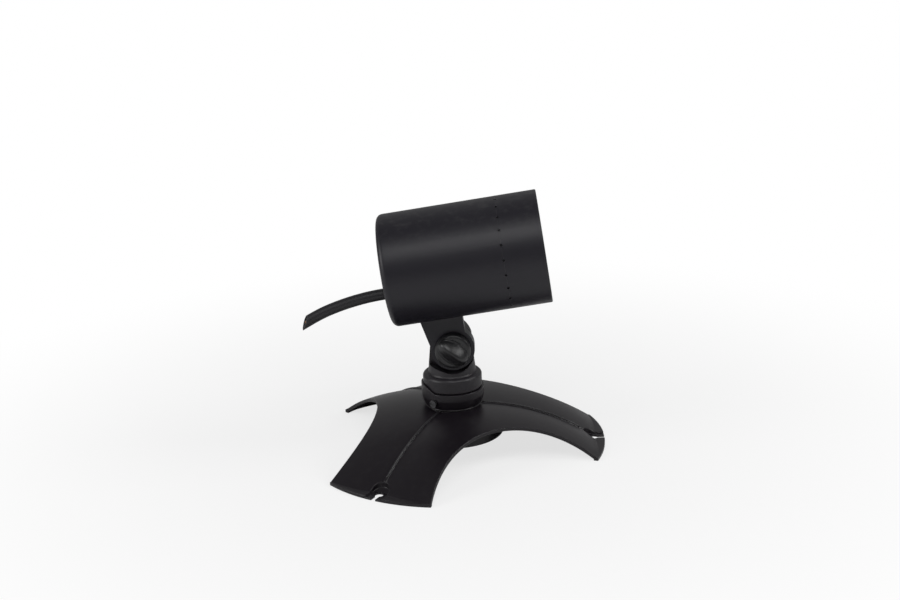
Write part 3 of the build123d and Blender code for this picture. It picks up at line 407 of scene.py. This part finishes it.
sheath_end = cut_rod(cable_diameter / 2, 0, -sheath_lap, 0)
face = max(sheath_end.faces,
           key=lambda each: (each.calc_center_median() - end_spot).dot(end_way))
bmesh.ops.inset_region(sheath_end, faces=[face], thickness=sheath_wall)
inner = bmesh.ops.extrude_discrete_faces(sheath_end, faces=[face])["faces"]
bmesh.ops.translate(sheath_end, verts=inner[0].verts, vec=-hollow_depth * end_way)
cut_face = finish("cable_tip", sheath_end, "head", rubber)
for face in cut_face.data.polygons:
    face.use_smooth = False
insulation = moulded("core_insulation", (0.03, 0.026, 0.024), 0.5, Rub=0.0, Dust=0.0)
copper = metal("copper_strand", (0.3, 0.16, 0.09), 0.5)
for label, side in (("live", core_spread), ("neutral", -core_spread)):
    core = cut_rod(core_radius, side, 0, core_stand)
    finish(label + "_core", core, "head", insulation)
    strand = cut_rod(strand_radius, side, 0, core_stand / 2)
    finish(label + "_strand", strand, "head", copper)

# ---- lens ----------------------------------------------------------------------------------------
# Moulded disc of milky frosted plastic, pebbled all over to spread the light.  It is held against
# its gasket behind the front rim.
frost, its, link, shader, where = shade("frosted_lens")
ripple = its.new("ShaderNodeTexVoronoi")
ripple.inputs["Scale"].default_value = 420.0
link.new(where, ripple.inputs["Vector"])
pebbled = its.new("ShaderNodeBump")
pebbled.inputs["Strength"].default_value = 0.5
pebbled.inputs["Distance"].default_value = 0.0003
link.new(ripple.outputs["Distance"], pebbled.inputs["Height"])
link.new(pebbled.outputs["Normal"], shader.inputs["Normal"])
shader.inputs["Base Color"].default_value = (0.83, 0.84, 0.85, 1)
shader.inputs["Roughness"].default_value = 0.3
shader.inputs["Transmission Weight"].default_value = 0.55
shader.inputs["IOR"].default_value = 1.46
dress(nodes["lens"], frost)

# ---- metal ---------------------------------------------------------------------------------------
# Bright stainless screws and washers, a blackened lock screw and a turned brass nut.  The heat sink
# is cast aluminium, the reflector is mirrored and the choke is wound with copper.
steel = metal("stainless_steel", (0.62, 0.62, 0.63), 0.3)
for name in ("cover_screws", "clamp_bolt", "knob_washer", "led_screws",
             "heat_sink_screws", "board_screws"):
    dress(nodes[name], steel)
dress(nodes["lock_screw"], metal("blackened_steel", (0.1, 0.1, 0.103), 0.35))
dress(nodes["clamp_nut"], metal("brass_nut", (0.78, 0.6, 0.3), 0.32))
dress(nodes["heat_sink"], metal("cast_aluminium", (0.72, 0.72, 0.74), 0.45))
dress(nodes["reflector"], metal("mirrored_reflector", (0.86, 0.86, 0.87), 0.12, 0.04))
dress(nodes["choke"], metal("copper_winding", (0.72, 0.38, 0.2), 0.35))

# ---- small parts inside the head -----------------------------------------------------------------
# Driver, light source and gland: moulded nylon, a lacquered board, a taped transformer and
# insulated leads.  They are clipped, screwed or soldered in before the rear cover goes on.
for name, colour, roughness in (
    ("lens_retainer", (0.02, 0.02, 0.021), 0.5), ("gland_body", (0.02, 0.02, 0.021), 0.45),
    ("gland_nut", (0.02, 0.02, 0.021), 0.45), ("gland_locknut", (0.02, 0.02, 0.021), 0.45),
    ("capacitors", (0.02, 0.02, 0.025), 0.3), ("led_emitter", (0.85, 0.68, 0.14), 0.25),
    ("led_holder", (0.8, 0.8, 0.78), 0.4), ("driver_board", (0.02, 0.13, 0.05), 0.3),
    ("transformer", (0.62, 0.45, 0.05), 0.45), ("terminal_block", (0.8, 0.8, 0.78), 0.4),
    ("supply_leads", (0.3, 0.08, 0.03), 0.45), ("led_leads", (0.3, 0.08, 0.03), 0.45),
    ("friction_washer", (0.28, 0.07, 0.04), 0.7),
):
    dress(nodes[name], moulded(name + "_finish", colour, roughness, Rub=0.1, Dust=0.0))

# ---- floor and light -----------------------------------------------------------------------------
# A plain pale floor which, for camera rays, glows white as painted light: the glow is mixed in
# less near the lamp, where the lit floor and its real shade show, and more further off.  A white
# surround that glows most behind and above, and three soft boxes: in front, on the left and on the
# right.
floor_mesh = bpy.data.meshes.new("floor")
sheet = bmesh.new()
bmesh.ops.create_grid(sheet, x_segments=1, y_segments=1, size=6.0)
sheet.to_mesh(floor_mesh)
sheet.free()
floor = bpy.data.objects.new("floor", floor_mesh)
bpy.context.scene.collection.objects.link(floor)
pale, its, link, shader, where = shade("pale_floor")
shader.inputs["Base Color"].default_value = (0.9, 0.9, 0.9, 1)
shader.inputs["Roughness"].default_value = 0.8
shader.inputs["Specular IOR Level"].default_value = 0.1
# emission seen by the camera only: painted glow of the floor, weaker near the lamp
lit = its.new("ShaderNodeEmission")
lit.inputs["Color"].default_value = (1, 1, 1, 1)
seen = its.new("ShaderNodeLightPath")
away = its.new("ShaderNodeVectorMath")
away.operation = "LENGTH"
link.new(where, away.inputs[0])
glow_share_away = its.new("ShaderNodeMapRange")
glow_share_away.interpolation_type = "SMOOTHSTEP"
glow_share_away.inputs["From Min"].default_value = 0.1
glow_share_away.inputs["From Max"].default_value = 0.5
glow_share_away.inputs["To Min"].default_value = 0.72
glow_share_away.inputs["To Max"].default_value = 1.0
link.new(away.outputs["Value"], glow_share_away.inputs["Value"])
part_lit = its.new("ShaderNodeMath")
part_lit.operation = "MULTIPLY"
link.new(glow_share_away.outputs["Result"], part_lit.inputs[1])
link.new(seen.outputs["Is Camera Ray"], part_lit.inputs[0])
painted_glow_mix = its.new("ShaderNodeMixShader")
link.new(part_lit.outputs["Value"], painted_glow_mix.inputs["Fac"])
link.new(shader.outputs["BSDF"], painted_glow_mix.inputs[1])
link.new(lit.outputs["Emission"], painted_glow_mix.inputs[2])
link.new(painted_glow_mix.outputs["Shader"], its["Material Output"].inputs["Surface"])
dress(floor, pale)

world = bpy.data.worlds.new("surround")
world.use_nodes = True
its = world.node_tree.nodes
link = world.node_tree.links
heading = its.new("ShaderNodeTexCoord")
toward_back = its.new("ShaderNodeVectorMath")
toward_back.operation = "DOT_PRODUCT"
toward_back.inputs[1].default_value = (0, 0.894, 0.447)
link.new(heading.outputs["Generated"], toward_back.inputs[0])
backdrop = its.new("ShaderNodeMapRange")
backdrop.interpolation_type = "SMOOTHSTEP"
backdrop.inputs["From Min"].default_value = 0.45
backdrop.inputs["From Max"].default_value = 0.95
backdrop.inputs["To Min"].default_value = 0.12
backdrop.inputs["To Max"].default_value = 0.34
link.new(toward_back.outputs["Value"], backdrop.inputs["Value"])
seen = its.new("ShaderNodeLightPath")
glow = its.new("ShaderNodeMath")
glow.operation = "MAXIMUM"
link.new(backdrop.outputs["Result"], glow.inputs[0])
link.new(seen.outputs["Is Camera Ray"], glow.inputs[1])
link.new(glow.outputs["Value"], its["Background"].inputs["Strength"])
its["Background"].inputs["Color"].default_value = (1, 1, 1, 1)
bpy.context.scene.world = world
bpy.context.scene.view_settings.view_transform = "Standard"


def softbox(name, spot, aim, size, power):
    """Square soft light at spot, turned to aim."""
    light = bpy.data.lights.new(name, "AREA")
    light.shape = "RECTANGLE"
    light.size, light.size_y = size
    light.energy = power
    lamp = bpy.data.objects.new(name, light)
    lamp.location = spot
    lamp.rotation_euler = (Vector(aim) - Vector(spot)).to_track_quat("-Z", "Y").to_euler()
    bpy.context.scene.collection.objects.link(lamp)


softbox("front_box", (0.12, -0.8, 1.15), (0, 0, 0.1), (1.2, 0.5), 6.5)
softbox("left_box", (-1.25, -0.45, 0.6), (0, 0, 0.1), (0.7, 0.6), 7.5)
softbox("right_box", (1.2, -0.22, 0.9), (0, 0, 0.1), (0.6, 0.6), 7.0)

# ---- end -----------------------------------------------------------------------------------------
# The view layer is brought up to date.
bpy.context.view_layer.update()
